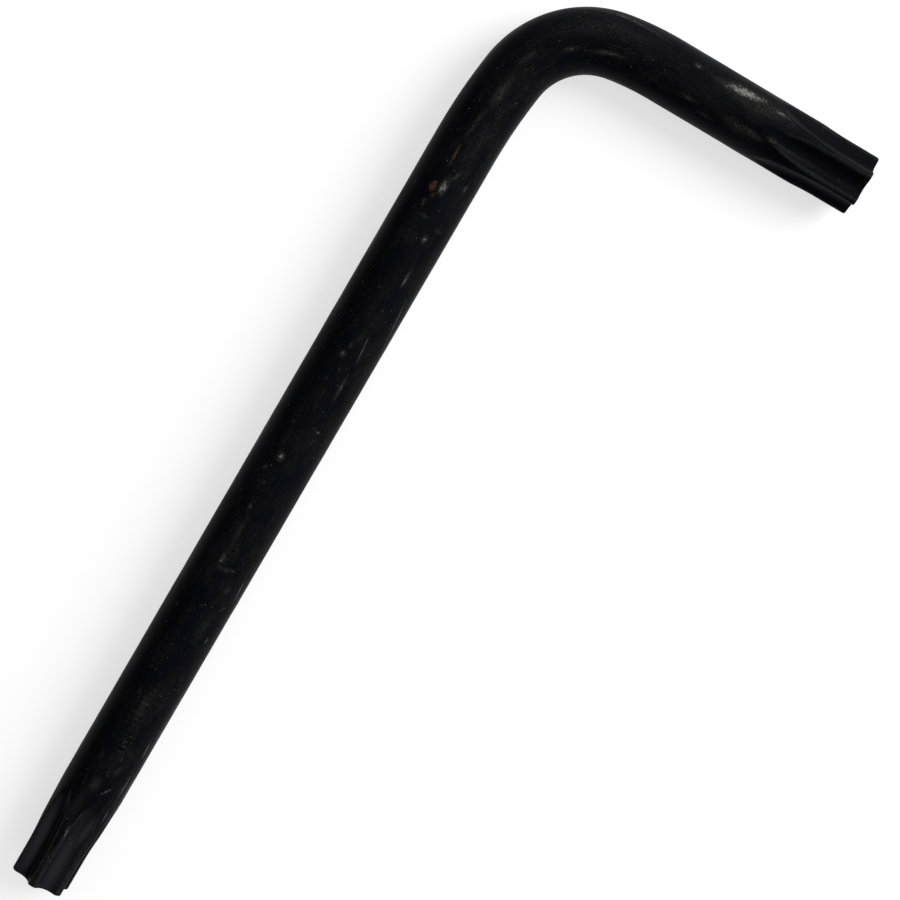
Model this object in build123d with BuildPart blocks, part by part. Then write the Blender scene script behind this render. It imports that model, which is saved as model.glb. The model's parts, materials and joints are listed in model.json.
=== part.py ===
from build123d import *
import os
from math import acos, cos, degrees, radians, sin

# Star-drive key: one round steel bar, bent to an L, with a six-lobed star formed on both ends.
# It lies on its side. The long arm points along +X and the short arm along +Y, both on the floor.
# Millimetres and degrees. The origin is under the middle of the key's bounding box.

# The bar and its two arms. Each arm is measured over all, from the back of the other arm.
bar_diameter = 5.7
long_arm = 91.4
short_arm = 33.8

# The bend is tightest in its middle and eases into each arm. Radii are to the bar's centreline.
bend_turn = 90.0
bend_radius = 7.85
long_ease_radius = 48.0
long_ease_turn = 8.5
short_ease_radius = 26.0
short_ease_turn = 10.0

# The size 30 star: six round lobes with six round flutes between them.
star_across_lobes = 5.5
star_across_flutes = 3.88
lobe_radius = 0.42
lobe_flat_depth = 0.02
lobe_count = 6

# Along each end: the full star, then a run-out on a large radius, where the flutes grow shallow
# and the lobes' crests rise to the bar's surface. The crests rise more gently than the flutes'
# shoulders, which so stay clear of them. The rim of the end face is rounded.
star_length = 2.9
run_out_radius = 23.0
crest_rise_gentleness = 1.15
rim_radius = 0.15

# How far each star is turned about its own arm. At zero one lobe points straight up, and a
# positive angle tips that lobe towards the inside of the L.
long_star_turn = -5.0
short_star_turn = -18.0

# How far a cutting shape reaches past the bar's surface, and how far the run-out's sweep goes on.
past_surface = 1.0
past_run_out = 0.1

bar_radius = bar_diameter / 2
crest_radius = star_across_lobes / 2
flute_floor_radius = star_across_flutes / 2
lobe_pitch = 360.0 / lobe_count
half_pitch = radians(lobe_pitch / 2)

# Lobe arcs would reach a little past the crest, which is rolled flat to its own radius.
lobe_centre_radius = crest_radius + lobe_flat_depth - lobe_radius

# The flute's arc touches the two lobe arcs beside it.
flute_radius = (
    (lobe_radius**2 - lobe_centre_radius**2 - flute_floor_radius**2
     + 2 * lobe_centre_radius * flute_floor_radius * cos(half_pitch))
    / (2 * (flute_floor_radius - lobe_centre_radius * cos(half_pitch) - lobe_radius))
)
flute_centre_radius = flute_floor_radius + flute_radius
run_out_depth = bar_radius + past_run_out - flute_floor_radius
run_out_turn = degrees(acos(1 - run_out_depth / run_out_radius))

# How much of each arm the bend takes up, from the crossing of the two centrelines.
first_heading = radians(long_ease_turn)
last_heading = radians(bend_turn - short_ease_turn)
full_heading = radians(bend_turn)
bend_along_x = (
    long_ease_radius * sin(first_heading)
    + bend_radius * (sin(last_heading) - sin(first_heading))
    + short_ease_radius * (sin(full_heading) - sin(last_heading))
)
bend_along_y = (
    long_ease_radius * (1 - cos(first_heading))
    + bend_radius * (cos(first_heading) - cos(last_heading))
    + short_ease_radius * (cos(last_heading) - cos(full_heading))
)

# Places. The bounding box is centred on X = 0 and Y = 0, and the key's underside is at Z = 0.
corner_x = bar_radius - long_arm / 2
corner_y = bar_radius - short_arm / 2
long_tip_x = corner_x - bar_radius + long_arm
short_tip_y = corner_y - bar_radius + short_arm


def turned(plane, angle):
    """The same plane with its local X and Y turned about its normal."""
    return Plane(plane.location * Rotation(0, 0, angle))


# Each end's plane has its normal pointing out along the arm and its local Y pointing at a lobe.
long_face = Plane(origin=(long_tip_x, corner_y, bar_radius), x_dir=(0, 1, 0), z_dir=(1, 0, 0))
long_end = turned(long_face, -long_star_turn)
short_face = Plane(origin=(corner_x, short_tip_y, bar_radius), x_dir=(-1, 0, 0), z_dir=(0, 1, 0))
short_end = turned(short_face, short_star_turn)


def crest_outline():
    """Side outline of what is taken off the crests: X runs in along the arm, Y out from its axis."""
    rise_radius = crest_rise_gentleness * run_out_radius / cos(half_pitch)
    rise_turn = degrees(acos(1 - (bar_radius + past_surface - crest_radius) / rise_radius))
    with BuildLine() as outline:
        rim = RadiusArc((0, crest_radius - rim_radius), (rim_radius, crest_radius), rim_radius)
        crest = Line(rim @ 1, (star_length, crest_radius))
        rise = JernArc(crest @ 1, crest % 1, rise_radius, rise_turn)
        Polyline(
            rise @ 1,
            (-past_surface, bar_radius + past_surface),
            (-past_surface, crest_radius - rim_radius),
            rim @ 0,
        )
    return outline.line


def flute_outline():
    """One flute and half of each lobe beside it, seen along the arm, open outwards past the bar."""
    lobe_direction = Vector(0, 1).rotate(Axis.Z, lobe_pitch / 2)
    lobe_centre = lobe_direction * lobe_centre_radius
    lobe_top = lobe_direction * (lobe_centre_radius + lobe_radius)
    to_flute = (Vector(0, flute_centre_radius) - lobe_centre).normalized()
    lobe_side = lobe_centre + (lobe_direction + to_flute).normalized() * lobe_radius
    lobe_foot = lobe_centre + to_flute * lobe_radius
    outside = lobe_direction * (bar_radius + past_surface) / cos(half_pitch)
    with BuildLine() as outline:
        Line(outside, lobe_top)
        ThreePointArc(lobe_top, lobe_side, lobe_foot)
        mirror(about=Plane.YZ)
        ThreePointArc(lobe_foot, (0, flute_floor_radius), (-lobe_foot.X, lobe_foot.Y))
        Line(outside, (-outside.X, outside.Y))
    return outline.line


with BuildPart() as star_key:
    # The bent bar, from the long arm's end to the short arm's.
    with BuildLine(Plane.XY.offset(bar_radius)) as centreline:
        long_run = Line((long_tip_x, corner_y), (corner_x + bend_along_x, corner_y))
        long_ease = JernArc(long_run @ 1, long_run % 1, long_ease_radius, -long_ease_turn)
        middle_turn = bend_turn - long_ease_turn - short_ease_turn
        main_bend = JernArc(long_ease @ 1, long_ease % 1, bend_radius, -middle_turn)
        short_ease = JernArc(main_bend @ 1, main_bend % 1, short_ease_radius, -short_ease_turn)
        Line(short_ease @ 1, (corner_x, short_tip_y))
    with BuildSketch(Plane(origin=long_run @ 0, z_dir=long_run % 0)):
        Circle(bar_radius)
    sweep(path=centreline.line)

    for end in (long_end, short_end):
        # The flutes: straight along the star, then swept outwards on the run-out radius.
        for flute in range(lobe_count):
            flute_plane = turned(end, (flute + 0.5) * lobe_pitch).offset(-star_length)
            wheel_centre = flute_plane.from_local_coords((0, flute_floor_radius + run_out_radius, 0))
            wheel_axis = Axis(wheel_centre, flute_plane.x_dir)
            with BuildSketch(flute_plane) as flute_section:
                make_face(flute_outline())
            extrude(amount=star_length + past_surface, mode=Mode.SUBTRACT)
            revolve(
                flute_section.sketch,
                axis=wheel_axis,
                revolution_arc=run_out_turn,
                mode=Mode.SUBTRACT,
            )

        # The crests: a slightly smaller cylinder with a rounded rim, rising back to the bar. The
        # turning starts in the middle of a flute, where its seam is clear of the lobes.
        arm_axis = Axis(end.origin, end.z_dir)
        at_flute = turned(end, lobe_pitch / 2)
        with BuildSketch(Plane(origin=end.origin, x_dir=-end.z_dir, z_dir=at_flute.x_dir)):
            make_face(crest_outline())
        revolve(axis=arm_axis, mode=Mode.SUBTRACT)

star_key.part.label = "star_key"

os.makedirs("parts", exist_ok=True)
export_step(star_key.part, "parts/star_key.step")
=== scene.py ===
"""Star-drive key: the worn, blackened surface of one bent steel bar.

Metres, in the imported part's frame. The long arm points along +X, the short arm along +Y, and the
key lies on its side with its underside at Z = 0.

The surface is built on a straightened copy of the bar. A point of it is given by its distance
along the bar from the long arm's end, and by its angle around the bar, measured from straight up
towards the inside of the L. The grid is then bent along the bar's centreline. The straightened
place is kept on each vertex as "straight", so that grain, streaks and marks follow the bend.
"""

import json
import math
import random
from collections import namedtuple

import bpy
import numpy as np
from mathutils import Matrix, Vector, noise


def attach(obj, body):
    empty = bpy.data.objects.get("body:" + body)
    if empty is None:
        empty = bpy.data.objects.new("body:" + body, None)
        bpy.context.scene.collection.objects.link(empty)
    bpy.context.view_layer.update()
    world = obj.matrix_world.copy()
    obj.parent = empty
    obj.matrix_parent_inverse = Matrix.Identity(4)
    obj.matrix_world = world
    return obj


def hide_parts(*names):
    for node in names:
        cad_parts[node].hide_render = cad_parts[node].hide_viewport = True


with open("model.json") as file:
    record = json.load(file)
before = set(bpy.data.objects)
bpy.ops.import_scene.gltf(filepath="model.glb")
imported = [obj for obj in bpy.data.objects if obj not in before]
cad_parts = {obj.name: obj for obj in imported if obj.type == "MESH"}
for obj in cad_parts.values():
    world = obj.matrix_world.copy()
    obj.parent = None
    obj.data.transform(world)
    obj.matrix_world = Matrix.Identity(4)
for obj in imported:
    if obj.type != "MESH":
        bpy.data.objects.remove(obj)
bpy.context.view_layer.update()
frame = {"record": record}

MM = 0.001
UP = Vector((0, 0, 1))

# ---- The key's own sizes ----

mounts = {mount["name"]: mount for mount in frame["record"]["mounts"]}
long_tip = Vector(mounts["long_star"]["pos_m"])
short_tip = Vector(mounts["short_star"]["pos_m"])
BAR_RADIUS = mounts["long_shank"]["dims"]["r_mm"] * MM
CORNER = Vector((short_tip.x, long_tip.y, BAR_RADIUS))

# The bend, from the long arm to the short one: (radius to the centreline, turn in degrees).
BEND_ARCS = ((48.0 * MM, 8.5), (7.85 * MM, 71.5), (26.0 * MM, 10.0))

CREST_RADIUS = 5.5 * MM / 2
FLUTE_FLOOR_RADIUS = 3.88 * MM / 2
LOBE_RADIUS = 0.42 * MM
LOBE_FLAT_DEPTH = 0.02 * MM
LOBE_COUNT = 6
LOBE_PITCH = 2 * math.pi / LOBE_COUNT
HALF_PITCH = LOBE_PITCH / 2
STAR_LENGTH = 2.9 * MM
RUN_OUT_RADIUS = 23.0 * MM
CREST_RISE_GENTLENESS = 1.15
RIM_RADIUS = 0.15 * MM
LONG_STAR_TURN = math.radians(-5.0)
SHORT_STAR_TURN = math.radians(-18.0)

# ---- The surface grid ----

AROUND = 192
TIP_ZONE = 10.0 * MM
RIM_ROWS = 6
TIP_STEP = 0.2 * MM
SHANK_STEP = 0.28 * MM
CAP_RINGS = 9
EDGE_SOFTENING = 2

# ---- Wear and painted flute highlights: marks laid on the surface ----

# Millimetres along the bar and degrees around it, then length, width and slant of the mark.
Mark = namedtuple("Mark", "along around length width slant strength")

# Dried pale dirt and scraped spots.
CRUST = (
    Mark(102.6, -29, 4.6, 1.1, -7, 1.0),
    Mark(106.1, -29, 2.4, 0.5, 0, 0.75),
    Mark(104.0, -24, 8.0, 2.0, -4, 0.45),
    Mark(100.2, 12, 7.0, 3.0, 0, 0.22),
    Mark(103.5, 30, 5.0, 1.2, 10, 0.4),
    Mark(90.0, -20, 12.0, 2.2, 0, 0.3),
    Mark(98.1, -27, 0.8, 0.6, 0, 0.7),
    Mark(98.7, 29, 1.8, 0.5, 0, 0.55),
    Mark(100.6, 42, 2.2, 0.4, 0, 0.5),
    Mark(104.8, 27, 2.4, 0.6, 8, 0.65),
    Mark(106.6, 20, 1.0, 0.4, 0, 0.6),
    Mark(91.5, -52, 6.5, 0.5, 10, 0.6),
    Mark(87.0, 18, 1.7, 0.4, 0, 0.55),
    Mark(90.6, 23, 3.2, 0.45, -4, 0.65),
    Mark(79.6, 3, 3.6, 0.9, 0, 0.5),
    Mark(83.2, -2, 2.4, 0.5, 5, 0.4),
    Mark(76.4, -3, 3.4, 0.5, 4, 0.4),
    Mark(70.3, 5, 1.5, 0.7, 0, 0.95),
    Mark(71.6, 15, 1.3, 0.3, 24, 0.6),
    Mark(71.1, 41, 0.7, 0.5, 0, 0.7),
    Mark(69.5, -47, 0.6, 0.25, 0, 0.7),
    Mark(67.4, 0, 1.0, 0.4, 90, 0.45),
    Mark(66.9, 38, 0.9, 0.35, 90, 0.5),
    Mark(65.7, 22, 0.7, 0.5, 0, 0.85),
    Mark(62.0, 29, 1.8, 0.35, 0, 0.7),
    Mark(53.9, -1, 0.6, 0.5, 0, 0.8),
    Mark(54.9, 4, 0.7, 0.4, 0, 0.5),
    Mark(51.2, 26, 2.4, 0.35, 0, 0.65),
    Mark(43.6, -4, 0.8, 0.6, 0, 0.9),
    Mark(42.2, -20, 0.5, 0.3, 0, 0.7),
    Mark(38.6, -7, 0.6, 0.35, 0, 0.65),
    Mark(36.2, -2, 3.2, 0.6, 0, 0.35),
    Mark(33.5, -3, 1.1, 0.5, 0, 0.75),
    Mark(32.8, 12, 1.6, 0.4, 75, 0.6),
    Mark(31.2, 33, 1.0, 0.6, 0, 0.4),
    Mark(27.4, 30, 3.6, 1.0, 0, 0.3),
    Mark(18.6, 6, 3.4, 0.7, 0, 0.35),
    Mark(12.6, 26, 1.1, 0.7, 20, 0.4),
    Mark(10.8, 2, 1.6, 1.0, 0, 0.5),
    Mark(5.9, 1, 1.7, 0.24, -6, 0.75),
    Mark(8.4, -7, 5.0, 1.3, 0, 0.3),
)

# Small rust spots and a brown line.
RUST = (
    Mark(73.0, -6, 3.2, 0.35, 0, 0.8),
    Mark(70.0, -12, 1.3, 0.65, 0, 1.0),
    Mark(69.3, -5, 0.7, 0.5, 0, 0.8),
    Mark(68.4, -12, 1.4, 0.5, 0, 0.7),
    Mark(66.8, -9, 2.0, 0.4, 0, 0.4),
    Mark(43.5, -3, 0.7, 0.4, 0, 0.5),
    Mark(29.5, -40, 0.35, 0.3, 0, 1.0),
    Mark(28.0, -34, 0.4, 0.3, 0, 1.0),
    Mark(101.8, 64, 0.4, 0.35, 0, 1.0),
    Mark(6.9, -9, 0.35, 0.3, 0, 0.8),
)

# Thin bright scratches.
SCRATCHES = (
    Mark(58.5, 60, 5.2, 0.14, -9, 1.0),
    Mark(61.2, 51, 1.2, 0.12, 0, 0.8),
    Mark(55.0, 26, 4.4, 0.14, -6, 0.8),
    Mark(46.9, 29, 0.9, 0.16, 80, 0.8),
    Mark(29.5, 46, 1.4, 0.25, 35, 0.6),
    Mark(31.4, 61, 3.4, 0.3, -5, 0.7),
    Mark(26.3, 50, 1.0, 0.25, 0, 0.7),
    Mark(23.0, 63, 3.0, 0.2, 0, 0.45),
    Mark(15.2, 60, 2.6, 0.35, -4, 0.7),
    Mark(11.4, 59, 3.6, 0.3, 3, 0.7),
    Mark(8.4, 53, 2.6, 0.3, 0, 0.6),
    Mark(10.6, 27, 2.0, 0.26, 42, 0.7),
    Mark(30.0, -64, 9.0, 0.35, 0, 0.45),
    Mark(20.0, -62, 5.0, 0.3, 0, 0.4),
    Mark(64.0, 60, 3.0, 0.2, 6, 0.5),
)

# Short ticks side by side, where jaws have bitten the bar.
BITES = (
    Mark(18.4, 7, 4.6, 1.1, 0, 0.8),
    Mark(15.4, 12, 2.2, 1.0, 0, 0.9),
    Mark(34.2, 8, 2.0, 0.9, 20, 0.5),
)

# Painted highlights: parts of the flutes coloured lighter and violet-grey, as if lit.
FLUTE_HIGHLIGHTS = (
    Mark(4.0, -49, 10.0, 0.9, 0, 0.9),
    Mark(2.5, 27, 10.0, 2.0, 0, 0.5),
    Mark(6.5, 38, 4.0, 0.6, 0, 0.8),
    Mark(111.0, 74, 9.0, 1.4, 0, 0.6),
)

# The sides that no mark above is on get others like them, at places drawn from a fixed seed.
SCATTER_SEED = 30
SCATTERED_CRUST = 46
SCATTERED_SCRATCHES = 22
SCATTERED_RUST = 9

# Heights of the surface's unevenness, of dried dirt and of scratches.
UNEVENNESS = 0.008 * MM
CRUST_HEIGHT = 0.02 * MM
SCRATCH_DEPTH = 0.03 * MM


def centreline_segments():
    """The bar's centreline as (length, radius) runs, straight where the radius is None."""
    heading = 0.0
    along_x = 0.0
    along_y = 0.0
    arcs = []
    for radius, degrees in BEND_ARCS:
        turn = math.radians(degrees)
        along_x += radius * (math.sin(heading + turn) - math.sin(heading))
        along_y += radius * (math.cos(heading) - math.cos(heading + turn))
        heading += turn
        arcs.append((radius * turn, radius))
    long_run = (long_tip - CORNER).length - along_x
    short_run = (short_tip - CORNER).length - along_y
    return [(long_run, None), *arcs, (short_run, None)]


SEGMENTS = centreline_segments()
BAR_LENGTH = sum(length for length, radius in SEGMENTS)


def place_on_centreline(along):
    """Points of the centreline, and the directions there towards the inside of the L."""
    points = np.zeros((len(along), 3))
    inwards = np.zeros((len(along), 3))
    start = np.array(long_tip)
    heading = math.pi
    travelled = 0.0
    for length, radius in SEGMENTS:
        here = (along >= travelled) & (along <= travelled + length + 1e-9)
        step = along[here] - travelled
        if radius is None:
            angle = np.full(len(step), heading)
            chord = step
            chord_angle = angle
            end_chord, end_angle, turn = length, heading, 0.0
        else:
            angle = heading - step / radius
            chord = 2 * radius * np.sin(step / radius / 2)
            chord_angle = heading - step / radius / 2
            turn = length / radius
            end_chord, end_angle = 2 * radius * math.sin(turn / 2), heading - turn / 2
        points[here] = start + np.stack(
            [chord * np.cos(chord_angle), chord * np.sin(chord_angle), 0 * chord], axis=1
        )
        inwards[here] = np.stack([np.sin(angle), -np.cos(angle), 0 * angle], axis=1)
        start = start + end_chord * np.array([math.cos(end_angle), math.sin(end_angle), 0.0])
        heading -= turn
        travelled += length
    return points, inwards


# ---- The star ends ----

LOBE_CENTRE = CREST_RADIUS + LOBE_FLAT_DEPTH - LOBE_RADIUS
FLUTE_RADIUS = (
    (LOBE_RADIUS**2 - LOBE_CENTRE**2 - FLUTE_FLOOR_RADIUS**2
     + 2 * LOBE_CENTRE * FLUTE_FLOOR_RADIUS * math.cos(HALF_PITCH))
    / (2 * (FLUTE_FLOOR_RADIUS - LOBE_CENTRE * math.cos(HALF_PITCH) - LOBE_RADIUS))
)
FLUTE_CENTRE = FLUTE_FLOOR_RADIUS + FLUTE_RADIUS


def flute_height(across):
    """Height of a flute's outline over the bar's axis, at a distance across from its middle."""
    lobe_x = LOBE_CENTRE * math.sin(HALF_PITCH)
    lobe_y = LOBE_CENTRE * math.cos(HALF_PITCH)
    foot = lobe_x * (1 - LOBE_RADIUS / (LOBE_RADIUS + FLUTE_RADIUS))
    flute = FLUTE_CENTRE - np.sqrt(np.maximum(FLUTE_RADIUS**2 - across**2, 0))
    lobe = lobe_y + np.sqrt(np.maximum(LOBE_RADIUS**2 - (across - lobe_x) ** 2, 0))
    return np.where(across < foot, flute, lobe)


def star_radius(inset, angle):
    """The bar's radius near an end: inset is the distance in from it, angle is from a lobe's crest."""
    past_star = np.maximum(inset - STAR_LENGTH, 0)
    rise_radius = CREST_RISE_GENTLENESS * RUN_OUT_RADIUS / math.cos(HALF_PITCH)
    rise = rise_radius - np.sqrt(np.maximum(rise_radius**2 - past_star**2, 0))
    into_rim = np.clip(RIM_RADIUS - inset, 0, RIM_RADIUS)
    rim = RIM_RADIUS - np.sqrt(np.maximum(RIM_RADIUS**2 - into_rim**2, 0))
    crest = np.minimum(CREST_RADIUS + rise - rim, BAR_RADIUS)

    # Angle from the middle of the nearest flute, from 0 to half a pitch.
    off_flute = np.abs((angle % LOBE_PITCH) - HALF_PITCH)
    wheel_axis = FLUTE_FLOOR_RADIUS + RUN_OUT_RADIUS
    low = np.full(crest.shape, 0.8 * FLUTE_FLOOR_RADIUS)
    high = crest.copy()
    for _ in range(32):
        middle = (low + high) / 2
        below_axis = wheel_axis - middle * np.cos(off_flute)
        height = wheel_axis - np.sqrt(below_axis**2 + past_star**2)
        across = middle * np.sin(off_flute)
        inside_flute = (height > flute_height(across)) & (across < height * math.tan(HALF_PITCH))
        high = np.where(inside_flute, middle, high)
        low = np.where(inside_flute, low, middle)
    return high


def soften(radius, passes):
    """Rounds the star's edges a little, as forming and wear leave them. Rows by columns."""
    for _ in range(passes):
        around = (np.roll(radius, 1, axis=1) + np.roll(radius, -1, axis=1)) / 2
        radius = (radius + around) / 2
        inner = (radius[:-2] + radius[2:]) / 2
        radius[1:-1] = (radius[1:-1] + inner) / 2
    return radius


# ---- The surface grid and what it carries ----


def row_places():
    """Distances along the bar of the grid's rows: close together at the stars, wider between."""
    rim = RIM_RADIUS * (1 - np.cos(np.linspace(0, math.pi / 2, RIM_ROWS)))
    tip = np.linspace(RIM_RADIUS, TIP_ZONE, round((TIP_ZONE - RIM_RADIUS) / TIP_STEP))
    end = np.concatenate([rim[:-1], tip])
    steps = round((BAR_LENGTH - 2 * TIP_ZONE) / SHANK_STEP)
    shank = np.linspace(TIP_ZONE, BAR_LENGTH - TIP_ZONE, steps + 1)[1:-1]
    return np.concatenate([end, shank, BAR_LENGTH - end[::-1]])


def surface_grid():
    """Distance along and angle around of every grid point. Columns follow the lobes' crests."""
    along = row_places()
    column = np.arange(AROUND) * 2 * math.pi / AROUND
    share = np.clip((along - TIP_ZONE) / (BAR_LENGTH - 2 * TIP_ZONE), 0, 1)
    twist = LONG_STAR_TURN + share * (SHORT_STAR_TURN - LONG_STAR_TURN)
    return np.repeat(along[:, None], AROUND, axis=1), column[None, :] + twist[:, None]


def bar_surface(along, around):
    """The bar's radius at every grid point, with both stars cut into it."""
    radius = np.full(along.shape, BAR_RADIUS)
    inset = BAR_LENGTH - along
    radius = np.where(along < TIP_ZONE, star_radius(along, around - LONG_STAR_TURN), radius)
    radius = np.where(inset < TIP_ZONE, star_radius(inset, around - SHORT_STAR_TURN), radius)
    return soften(radius, EDGE_SOFTENING)


def laid_marks(marks, along, around):
    """How strongly a group of marks covers each grid point, from 0 to 1."""
    total = np.zeros(along.shape)
    for mark in marks:
        off_along = along / MM - mark.along
        turn = (around - math.radians(mark.around) + math.pi) % (2 * math.pi) - math.pi
        off_around = turn * BAR_RADIUS / MM
        slant = math.radians(mark.slant)
        lengthwise = off_along * math.cos(slant) + off_around * math.sin(slant)
        sideways = off_around * math.cos(slant) - off_along * math.sin(slant)
        distance = (2 * lengthwise / mark.length) ** 2 + (2 * sideways / mark.width) ** 2
        total = np.maximum(total, mark.strength * np.exp(-distance))
    return total


def scattered_marks(rng, count, length, width, strength):
    """Marks drawn at random on the sides and underside, clear of those listed."""
    marks = []
    for _ in range(count):
        marks.append(
            Mark(
                rng.uniform(4, BAR_LENGTH / MM - 4),
                rng.uniform(75, 285),
                length * rng.uniform(0.4, 1.6),
                width * rng.uniform(0.6, 1.5),
                rng.gauss(0, 12),
                strength * rng.uniform(0.4, 1.0),
            )
        )
    return marks


def surface_unevenness(along, around):
    """Small rises and hollows of drawn, forged and handled steel, from about -1 to 1."""
    heights = np.empty(along.shape)
    for row in range(along.shape[0]):
        for column in range(along.shape[1]):
            angle = around[row, column]
            lengthwise = along[row, column] / MM * 0.35
            place = Vector((lengthwise, 2.4 * math.sin(angle), 2.4 * math.cos(angle)))
            heights[row, column] = noise.fractal(place, 0.9, 2.1, 3)
    return heights


def wear_layers(along, around, radius):
    """Each kind of wear, and the painted highlights of flutes and edges, by name, as its strength from
    0 to 1 at every grid point.
    """
    rng = random.Random(SCATTER_SEED)
    crust = [*CRUST, *scattered_marks(rng, SCATTERED_CRUST, 1.8, 0.6, 0.8)]
    scratches = [*SCRATCHES, *scattered_marks(rng, SCATTERED_SCRATCHES, 3.5, 0.18, 0.7)]
    rust = [*RUST, *scattered_marks(rng, SCATTERED_RUST, 0.7, 0.45, 0.9)]
    # Convex edges and lobe crests: partly rubbed edges and partly a painted highlight.
    beside = sum(np.roll(radius, shift, axis=1) for shift in (-2, -1, 1, 2)) / 4
    return {
        "crust": laid_marks(crust, along, around),
        "scratch": laid_marks(scratches, along, around),
        "rust": laid_marks(rust, along, around),
        "bites": laid_marks(BITES, along, around),
        # Painted highlights in parts of the flutes.
        "flute_highlight": laid_marks(FLUTE_HIGHLIGHTS, along, around),
        "edge_wear_and_highlight": np.clip((radius - beside) / (0.02 * MM), 0, 1),
        "cut": np.clip((BAR_RADIUS - radius) / (0.25 * MM), 0, 1),
    }


def build_key():
    along, around = surface_grid()
    radius = bar_surface(along, around)
    layers = wear_layers(along, around, radius)
    whole = 1 - layers["cut"]
    radius = radius + UNEVENNESS * whole * surface_unevenness(along, around)
    radius = radius + CRUST_HEIGHT * layers["crust"] - SCRATCH_DEPTH * layers["scratch"] * whole

    centre, inwards = place_on_centreline(along[:, 0])
    across = radius * np.sin(around)
    height = radius * np.cos(around)
    points = (
        centre[:, None, :]
        + across[..., None] * inwards[:, None, :]
        + height[..., None] * np.array(UP)
    )
    points[..., 2] = np.maximum(points[..., 2], 0)
    straight = np.stack([along, across, height], axis=2)

    rows = along.shape[0]
    vertices = list(points.reshape(-1, 3))
    straights = list(straight.reshape(-1, 3))
    faces = []
    for row in range(rows - 1):
        for column in range(AROUND):
            beside = (column + 1) % AROUND
            a = row * AROUND
            b = a + AROUND
            faces.append((a + column, b + column, b + beside, a + beside))
    for row, flip in ((0, False), (rows - 1, True)):
        ring = [row * AROUND + column for column in range(AROUND)]
        for step in range(1, CAP_RINGS):
            share = 1 - step / CAP_RINGS
            first = len(vertices)
            for column in range(AROUND):
                vertices.append(centre[row] + share * (points[row, column] - centre[row]))
                straights.append(straight[row, column] * np.array([1, share, share]))
            inner = [first + column for column in range(AROUND)]
            for column in range(AROUND):
                beside = (column + 1) % AROUND
                quad = (ring[column], ring[beside], inner[beside], inner[column])
                faces.append(quad[::-1] if flip else quad)
            ring = inner
        middle = len(vertices)
        vertices.append(centre[row])
        straights.append(np.array([along[row, 0], 0, 0]))
        for column in range(AROUND):
            beside = (column + 1) % AROUND
            fan = (ring[column], ring[beside], middle)
            faces.append(fan[::-1] if flip else fan)

    mesh = bpy.data.meshes.new("worn_key")
    mesh.from_pydata([tuple(v) for v in vertices], [], faces)
    place = mesh.attributes.new("straight", "FLOAT_VECTOR", "POINT")
    place.data.foreach_set("vector", np.array(straights).ravel())
    for name, layer in layers.items():
        values = np.zeros(len(vertices))
        values[: layer.size] = layer.ravel()
        attribute = mesh.attributes.new(name, "FLOAT", "POINT")
        attribute.data.foreach_set("value", values)
    mesh.shade_smooth()
    key = bpy.data.objects.new("worn_key", mesh)
    bpy.context.scene.collection.objects.link(key)
    return key


# ---- Materials ----

BLUE_BLACK = (0.0019, 0.0022, 0.0050, 1)
VIOLET_BLACK = (0.0031, 0.0028, 0.0052, 1)
OLIVE_SMUDGE = (0.0100, 0.0098, 0.0084, 1)
DEEP_BLACK = (0.0007, 0.0007, 0.0012, 1)
PALE_FLECK = (0.014, 0.014, 0.0155, 1)
SCUFFED_GREY = (0.019, 0.019, 0.0195, 1)
# Lighter violet-grey, for the painted highlights in the flutes.
FLUTE_HIGHLIGHT_GREY = (0.034, 0.032, 0.040, 1)
DIRT_HAZE = (0.026, 0.026, 0.022, 1)
DRIED_DIRT = (0.20, 0.20, 0.185, 1)
DARK_RUST = (0.030, 0.013, 0.006, 1)
LIGHT_RUST = (0.062, 0.036, 0.022, 1)
# Pale steel under scratches and bites, also a painted highlight on convex edges.
BARE_STEEL_AND_HIGHLIGHT = (0.085, 0.087, 0.092, 1)
PALE_DUST = (0.13, 0.13, 0.125, 1)

# Roughness of the coat, from its smoothest patches to its dullest, and what wear adds to it.
SMOOTH_COAT = 0.36
DULL_COAT = 0.52
CRUST_ADDS = 0.3
RUST_ADDS = 0.35
STAR_TAKES = 0.06

RELIEF_DEPTH = 0.02 * MM

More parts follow.
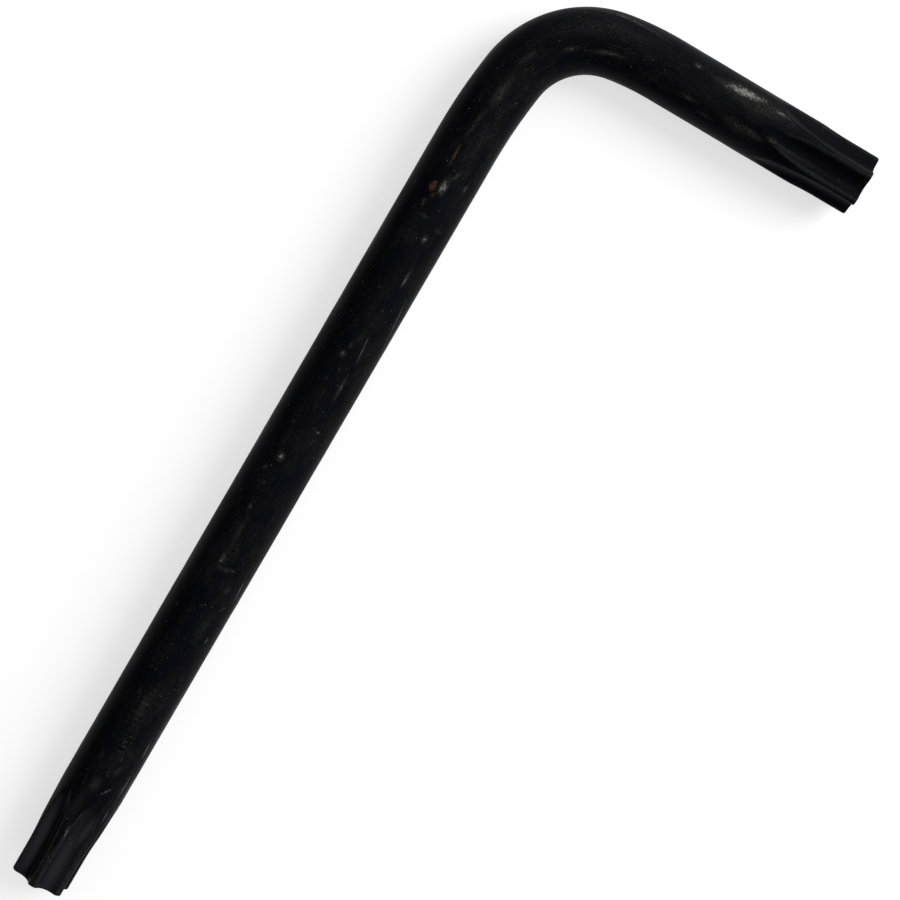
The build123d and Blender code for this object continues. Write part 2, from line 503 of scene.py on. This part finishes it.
class Shading:
    """A material with short calls that add shader nodes and give back their outputs."""

    def __init__(self, name):
        self.material = bpy.data.materials.new(name)
        self.material.use_nodes = True
        self.tree = self.material.node_tree
        self.shader = self.tree.nodes["Principled BSDF"]

    def feed(self, socket, value):
        if isinstance(value, bpy.types.NodeSocket):
            self.tree.links.new(value, socket)
        else:
            socket.default_value = value

    def layer(self, name, kind="Fac"):
        node = self.tree.nodes.new("ShaderNodeAttribute")
        node.attribute_name = name
        return node.outputs[kind]

    def math(self, operation, first, second=0.0):
        node = self.tree.nodes.new("ShaderNodeMath")
        node.operation = operation
        self.feed(node.inputs[0], first)
        self.feed(node.inputs[1], second)
        return node.outputs[0]

    def scaled(self, vector, factors):
        node = self.tree.nodes.new("ShaderNodeVectorMath")
        node.operation = "MULTIPLY"
        self.feed(node.inputs[0], vector)
        node.inputs[1].default_value = factors
        return node.outputs[0]

    def noise(self, place, scale, detail=2.0, roughness=0.5, distortion=0.0):
        node = self.tree.nodes.new("ShaderNodeTexNoise")
        self.feed(node.inputs["Vector"], place)
        node.inputs["Scale"].default_value = scale
        node.inputs["Detail"].default_value = detail
        node.inputs["Roughness"].default_value = roughness
        node.inputs["Distortion"].default_value = distortion
        return node.outputs["Fac"]

    def ridges(self, place, scale, distortion, detail_scale):
        """Ridges across the bar, one after the other along it, bent and broken by distortion."""
        node = self.tree.nodes.new("ShaderNodeTexWave")
        node.bands_direction = "X"
        self.feed(node.inputs["Vector"], place)
        node.inputs["Scale"].default_value = scale
        node.inputs["Distortion"].default_value = distortion
        node.inputs["Detail Scale"].default_value = detail_scale
        return node.outputs["Fac"]

    def eased(self, value, start, end, low=0.0, high=1.0):
        """low where the value is at start, high where it is at end, and smooth between."""
        node = self.tree.nodes.new("ShaderNodeMapRange")
        node.interpolation_type = "SMOOTHSTEP"
        flipped = start > end
        self.feed(node.inputs["Value"], value)
        node.inputs["From Min"].default_value = end if flipped else start
        node.inputs["From Max"].default_value = start if flipped else end
        node.inputs["To Min"].default_value = high if flipped else low
        node.inputs["To Max"].default_value = low if flipped else high
        return node.outputs["Result"]

    def specks(self, place, scale, size, share):
        """Small round specks: one in each cell of the pattern, kept in a share of the cells."""
        node = self.tree.nodes.new("ShaderNodeTexVoronoi")
        self.feed(node.inputs["Vector"], place)
        node.inputs["Scale"].default_value = scale
        spot = self.eased(node.outputs["Distance"], size, 0.4 * size)
        split = self.tree.nodes.new("ShaderNodeSeparateColor")
        self.tree.links.new(node.outputs["Color"], split.inputs[0])
        kept = self.eased(split.outputs[0], share, 0.6 * share)
        return self.math("MULTIPLY", spot, kept)

    def blend(self, share, first, second):
        """The first colour where the share is 0, and the second where it is 1."""
        node = self.tree.nodes.new("ShaderNodeMix")
        node.data_type = "RGBA"
        self.feed(node.inputs[0], share)
        self.feed(node.inputs[6], first)
        self.feed(node.inputs[7], second)
        return node.outputs[2]

    def bump(self, height, distance, strength):
        node = self.tree.nodes.new("ShaderNodeBump")
        node.inputs["Strength"].default_value = strength
        node.inputs["Distance"].default_value = distance
        self.feed(node.inputs["Height"], height)
        return node.outputs["Normal"]


def black_oxide():
    """Black oxide on steel: bluish black, smudged grey and olive, scuffed and spotted, with painted
    highlights in parts of the flutes and on convex edges.
    """
    oxide = Shading("black_oxide")
    place = oxide.scaled(oxide.layer("straight", "Vector"), (1 / MM, 1 / MM, 1 / MM))
    drawn_out = oxide.scaled(place, (0.45, 1, 1))
    streaked = oxide.scaled(place, (0.06, 1, 1))
    cut = oxide.layer("cut")
    bar_only = oxide.math("SUBTRACT", 1.0, cut)

    # The coat: bluish black with violet and olive-grey patches, and a fine mottle over all.
    grain = oxide.noise(drawn_out, 7.0, 3.0, 0.6)
    fleck = oxide.noise(place, 4.2, 4.0, 0.75)
    patches = oxide.noise(drawn_out, 0.55, 5.0, 0.62)
    tint = oxide.eased(oxide.noise(drawn_out, 0.8, 3.0), 0.42, 0.62)
    coat = oxide.blend(tint, BLUE_BLACK, VIOLET_BLACK)
    broken = oxide.eased(fleck, 0.36, 0.64, 0.15, 1.0)
    smudged = oxide.math("MULTIPLY", oxide.eased(patches, 0.42, 0.70), broken)
    smudged = oxide.math("MULTIPLY", smudged, oxide.eased(cut, 0.5, 1.0, 1.0, 0.15))
    coat = oxide.blend(smudged, coat, OLIVE_SMUDGE)
    darkened = oxide.eased(grain, 0.62, 0.36, 0.0, 0.5)
    coat = oxide.blend(darkened, coat, DEEP_BLACK)
    paled = oxide.math("MULTIPLY", oxide.eased(fleck, 0.55, 0.80, 0.0, 0.5), bar_only)
    coat = oxide.blend(paled, coat, PALE_FLECK)

    # Faint lengthwise streaks from drawing, and scuffs from handling.
    streaks = oxide.eased(oxide.noise(streaked, 4.0, 4.0, 0.7), 0.56, 0.78, 0.0, 0.5)
    scuffed = oxide.scaled(place, (0.25, 1, 1))
    scuffs = oxide.eased(oxide.noise(scuffed, 2.4, 6.0, 0.75), 0.56, 0.72)
    scuffed_zones = oxide.eased(oxide.noise(place, 0.16, 2.0), 0.42, 0.60, 0.25, 0.9)
    scuffs = oxide.math("MULTIPLY", scuffs, scuffed_zones)
    streaks = oxide.math("MULTIPLY", oxide.math("MAXIMUM", streaks, scuffs), bar_only)
    coat = oxide.blend(streaks, coat, SCUFFED_GREY)

    # Painted highlight: parts of the flutes are coloured lighter and violet-grey, as if lit.
    flute_highlight = oxide.math("MULTIPLY", oxide.layer("flute_highlight"), cut)
    coat = oxide.blend(flute_highlight, coat, FLUTE_HIGHLIGHT_GREY)

    # Dried pale dirt breaks up into crumbs.
    crumbled = oxide.scaled(place, (0.7, 1, 1))
    crumbs = oxide.noise(crumbled, 4.2, 6.0, 0.76, 0.3)
    crust_layer = oxide.layer("crust")
    crust_reach = oxide.math("ADD", oxide.math("MULTIPLY", crust_layer, 0.5), crumbs)
    crust = oxide.eased(crust_reach, 0.76, 1.06)
    dusty = oxide.eased(fleck, 0.30, 0.62, 0.0, 0.75)
    haze = oxide.math("MULTIPLY", oxide.eased(crust_layer, 0.02, 0.55), dusty)
    coat = oxide.blend(haze, coat, DIRT_HAZE)
    coat = oxide.blend(crust, coat, DRIED_DIRT)

    # Rust, orange-brown and grainy.
    rust_reach = oxide.math("ADD", oxide.math("MULTIPLY", oxide.layer("rust"), 0.7), crumbs)
    rust = oxide.eased(rust_reach, 0.78, 1.05)
    rust_grain = oxide.eased(grain, 0.35, 0.65)
    rust_colour = oxide.blend(rust_grain, DARK_RUST, LIGHT_RUST)
    coat = oxide.blend(rust, coat, rust_colour)

    # Scratches and bites of jaws show the steel under the coat. On convex edges and lobe crests the
    # same pale steel is partly rubbed edges and partly a painted highlight.
    scratch_reach = oxide.math("ADD", oxide.layer("scratch"), oxide.math("MULTIPLY", crumbs, 0.5))
    scratch = oxide.eased(scratch_reach, 0.55, 1.1)
    edge_wear_and_highlight_reach = oxide.math("ADD", oxide.layer("edge_wear_and_highlight"), oxide.math("MULTIPLY", crumbs, 0.8))
    edge_wear_and_highlight = oxide.eased(edge_wear_and_highlight_reach, 1.15, 1.75, 0.0, 0.25)
    ticks = oxide.eased(oxide.ridges(place, 0.6, 3.5, 0.9), 0.7, 1.0)
    bites = oxide.math("MULTIPLY", ticks, oxide.layer("bites"))
    bites = oxide.math("MULTIPLY", bites, oxide.eased(crumbs, 0.46, 0.62, 0.0, 0.45))
    bare_and_highlight = oxide.math("MAXIMUM", oxide.math("MAXIMUM", scratch, edge_wear_and_highlight), bites)
    coat = oxide.blend(bare_and_highlight, coat, BARE_STEEL_AND_HIGHLIGHT)

    # Pale specks of dust, coarse and fine.
    coarse_dust = oxide.specks(place, 1.3, 0.085, 0.16)
    fine_dust = oxide.specks(place, 3.1, 0.16, 0.10)
    dust = oxide.math("MULTIPLY", oxide.math("MAXIMUM", coarse_dust, fine_dust), 0.7)
    coat = oxide.blend(dust, coat, PALE_DUST)

    oxide.feed(oxide.shader.inputs["Base Color"], coat)
    rough = oxide.eased(patches, 0.3, 0.7, SMOOTH_COAT, DULL_COAT)
    rough = oxide.math("ADD", rough, oxide.math("MULTIPLY", crust, CRUST_ADDS))
    rough = oxide.math("ADD", rough, oxide.math("MULTIPLY", rust, RUST_ADDS))
    rough = oxide.math("SUBTRACT", rough, oxide.math("MULTIPLY", cut, STAR_TAKES))
    oxide.feed(oxide.shader.inputs["Roughness"], rough)
    oxide.shader.inputs["Specular IOR Level"].default_value = 0.025

    relief = oxide.math("ADD", oxide.math("MULTIPLY", grain, 0.5), oxide.math("MULTIPLY", crumbs, 0.5))
    relief = oxide.math("ADD", relief, oxide.math("MULTIPLY", crust, 1.2))
    relief = oxide.math("SUBTRACT", relief, oxide.math("MULTIPLY", bites, 2.0))
    oxide.feed(oxide.shader.inputs["Normal"], oxide.bump(relief, RELIEF_DEPTH, 0.8))
    return oxide.material


# ---- Floor, light and camera ----

FLOOR_SIZE = 3.0
FLOOR_COLOUR = (0.45, 0.45, 0.45, 1)
# What the floor glows by itself, so that the camera and reflections see it as white.
FLOOR_GLOW = 0.65

# The level direction from the key that the soft light comes from.
LIGHT_SIDE = (-0.74, 0.67, 0.0)
# The studio's brightness on the side away from the light, and on the light's side.
DIM_SIDE = 0.06
BRIGHT_SIDE = 0.8

SOFTBOX_PLACE = (-0.30, 0.27, 0.30)
SOFTBOX_SIZE = 0.30
SOFTBOX_POWER = 2.0

LENS = 76.0
CAMERA_PLACE = Vector((-17.83, -7.19, 167.05)) * MM
CAMERA_AIM = Vector((-5.50, -2.01, 2.85)) * MM
CAMERA_ROLL = math.radians(120.33)


def build_stage():
    bpy.ops.mesh.primitive_plane_add(size=FLOOR_SIZE, location=(0, 0, 0))
    floor = bpy.context.object
    floor.name = "floor"
    material = bpy.data.materials.new("pale_floor")
    material.use_nodes = True
    tree = material.node_tree
    diffuse = tree.nodes["Principled BSDF"]
    diffuse.inputs["Base Color"].default_value = FLOOR_COLOUR
    diffuse.inputs["Roughness"].default_value = 1.0
    diffuse.inputs["Specular IOR Level"].default_value = 0.0
    light_path = tree.nodes.new("ShaderNodeLightPath")
    glow = tree.nodes.new("ShaderNodeEmission")
    glow.inputs["Strength"].default_value = FLOOR_GLOW
    black = tree.nodes.new("ShaderNodeEmission")
    black.inputs["Strength"].default_value = 0.0
    seen_or_mirrored = tree.nodes.new("ShaderNodeMath")
    seen_or_mirrored.operation = "MAXIMUM"
    seen_at_all = tree.nodes.new("ShaderNodeMath")
    seen_at_all.operation = "MAXIMUM"
    tree.links.new(light_path.outputs["Is Camera Ray"], seen_or_mirrored.inputs[0])
    tree.links.new(light_path.outputs["Is Glossy Ray"], seen_or_mirrored.inputs[1])
    tree.links.new(seen_or_mirrored.outputs[0], seen_at_all.inputs[0])
    tree.links.new(light_path.outputs["Is Transmission Ray"], seen_at_all.inputs[1])
    mix = tree.nodes.new("ShaderNodeMixShader")
    tree.links.new(seen_at_all.outputs[0], mix.inputs[0])
    tree.links.new(black.outputs[0], mix.inputs[1])
    tree.links.new(glow.outputs[0], mix.inputs[2])
    total = tree.nodes.new("ShaderNodeAddShader")
    tree.links.new(diffuse.outputs[0], total.inputs[0])
    tree.links.new(mix.outputs[0], total.inputs[1])
    tree.links.new(total.outputs[0], tree.nodes["Material Output"].inputs["Surface"])
    floor.data.materials.append(material)


def add_softbox():
    lamp = bpy.data.lights.new("side_softbox", "AREA")
    lamp.shape = "DISK"
    lamp.size = SOFTBOX_SIZE
    lamp.energy = SOFTBOX_POWER
    softbox = bpy.data.objects.new("side_softbox", lamp)
    softbox.location = SOFTBOX_PLACE
    softbox.rotation_euler = (-Vector(SOFTBOX_PLACE)).to_track_quat("-Z", "Y").to_euler()
    bpy.context.scene.collection.objects.link(softbox)


def build_light():
    world = bpy.data.worlds.new("studio")
    bpy.context.scene.world = world
    world.use_nodes = True
    tree = world.node_tree
    direction = tree.nodes.new("ShaderNodeTexCoord")
    towards_light = tree.nodes.new("ShaderNodeVectorMath")
    towards_light.operation = "DOT_PRODUCT"
    towards_light.inputs[1].default_value = LIGHT_SIDE
    bright_side = tree.nodes.new("ShaderNodeMapRange")
    bright_side.interpolation_type = "SMOOTHSTEP"
    bright_side.inputs["From Min"].default_value = -0.9
    bright_side.inputs["From Max"].default_value = 0.9
    bright_side.inputs["To Min"].default_value = DIM_SIDE
    bright_side.inputs["To Max"].default_value = BRIGHT_SIDE
    tree.links.new(direction.outputs["Generated"], towards_light.inputs[0])
    tree.links.new(towards_light.outputs["Value"], bright_side.inputs["Value"])
    tree.links.new(bright_side.outputs["Result"], tree.nodes["Background"].inputs["Strength"])
    tree.nodes["Background"].inputs["Color"].default_value = (1, 1, 1, 1)
    add_softbox()


def build_camera():
    camera_data = bpy.data.cameras.new("camera")
    camera_data.lens = LENS
    camera_data.sensor_width = 36.0
    camera_data.clip_start = 0.01
    camera = bpy.data.objects.new("camera", camera_data)
    backwards = (CAMERA_PLACE - CAMERA_AIM).normalized()
    right = Vector((0, 1, 0)).cross(backwards).normalized()
    up = backwards.cross(right)
    upright = Matrix((right, up, backwards)).transposed().to_4x4()
    roll = Matrix.Rotation(CAMERA_ROLL, 4, "Z")
    camera.matrix_world = Matrix.Translation(CAMERA_PLACE) @ upright @ roll
    bpy.context.scene.collection.objects.link(camera)
    bpy.context.scene.camera = camera


key = build_key()
key.data.materials.append(black_oxide())
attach(key, "root")
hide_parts("star_key")
build_stage()
build_light()
build_camera()

bpy.context.scene.view_settings.view_transform = "Standard"
